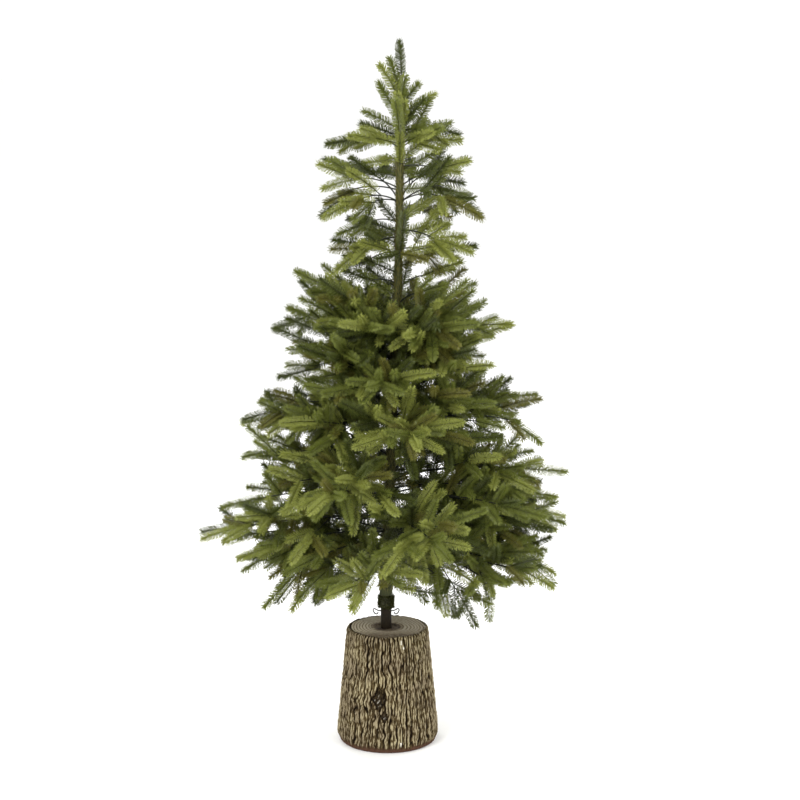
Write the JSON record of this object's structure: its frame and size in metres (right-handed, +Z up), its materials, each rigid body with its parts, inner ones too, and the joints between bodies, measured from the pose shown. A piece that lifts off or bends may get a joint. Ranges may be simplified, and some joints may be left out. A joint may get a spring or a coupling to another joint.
{
  "type": "artificial christmas tree in a log-shaped stand",
  "caption": "Artificial fir tree with moulded needle sprays on wire boughs round a slightly leaning pole, standing in a tapered bark-relief log stand.",
  "frame": {"origin": "centre of the log stand's flat underside", "axes": "+Z up along the stand's axis to the tree's tip, -Y to the side that the picture shows, +X to its right"},
  "size_m": [0.9583, 0.8455, 1.8],
  "materials": {
    "bark_resin": "moulded bark relief in khaki and dark brown",
    "brown_steel": "dark brown paint",
    "zinc_wire": "dull zinc-plated wire",
    "green_tape": "dark green plastic wrap",
    "tinsel": "dark green tinsel",
    "needles": "olive green moulded needles"
  },
  "bodies": {
    "root": {"bough_tier_1_1": "green_tape", "bough_tier_1_2": "green_tape", "bough_tier_1_3": "green_tape", "bough_tier_1_4": "green_tape", "bough_tier_2_1": "green_tape", "bough_tier_2_2": "green_tape", "bough_tier_2_3": "green_tape", "bough_tier_2_4": "green_tape", "bough_tier_3_1": "green_tape", "bough_tier_3_2": "green_tape", "bough_tier_3_3": "green_tape", "bough_tier_3_4": "green_tape", "bough_tier_4_1": "green_tape", "bough_tier_4_2": "green_tape", "bough_tier_4_3": "green_tape", "bough_tier_4_4": "green_tape", "centre_pole": "brown_steel", "foliage_leader": "needles", "foliage_tier_1_1": "needles", "foliage_tier_1_2": "needles", "foliage_tier_1_3": "needles", "foliage_tier_1_4": "needles", "foliage_tier_2_1": "needles", "foliage_tier_2_2": "needles", "foliage_tier_2_3": "needles", "foliage_tier_2_4": "needles", "foliage_tier_3_1": "needles", "foliage_tier_3_2": "needles", "foliage_tier_3_3": "needles", "foliage_tier_3_4": "needles", "foliage_tier_4_1": "needles", "foliage_tier_4_2": "needles", "foliage_tier_4_3": "needles", "foliage_tier_4_4": "needles", "foliage_tier_5_1": "needles", "foliage_tier_5_2": "needles", "foliage_tier_5_3": "needles", "foliage_tier_5_4": "needles", "foliage_tier_5_5": "needles", "foliage_tier_6_1": "needles", "foliage_tier_6_2": "needles", "foliage_tier_6_3": "needles", "foliage_tier_6_4": "needles", "foliage_tier_6_5": "needles", "foliage_tier_7_1": "needles", "foliage_tier_7_2": "needles", "foliage_tier_7_3": "needles", "foliage_tier_8_1": "needles", "foliage_tier_8_2": "needles", "foliage_tier_8_3": "needles", "foliage_tier_8_4": "needles", "foliage_tier_9_1": "needles", "foliage_tier_9_2": "needles", "foliage_tier_9_3": "needles", "log_stand": "bark_resin", "pole_sleeve": "green_tape", "stand_socket": "brown_steel", "thumb_screw_left": "zinc_wire", "thumb_screw_right": "zinc_wire", "tinsel_cuff": "tinsel"}
  },
  "joints": []
}
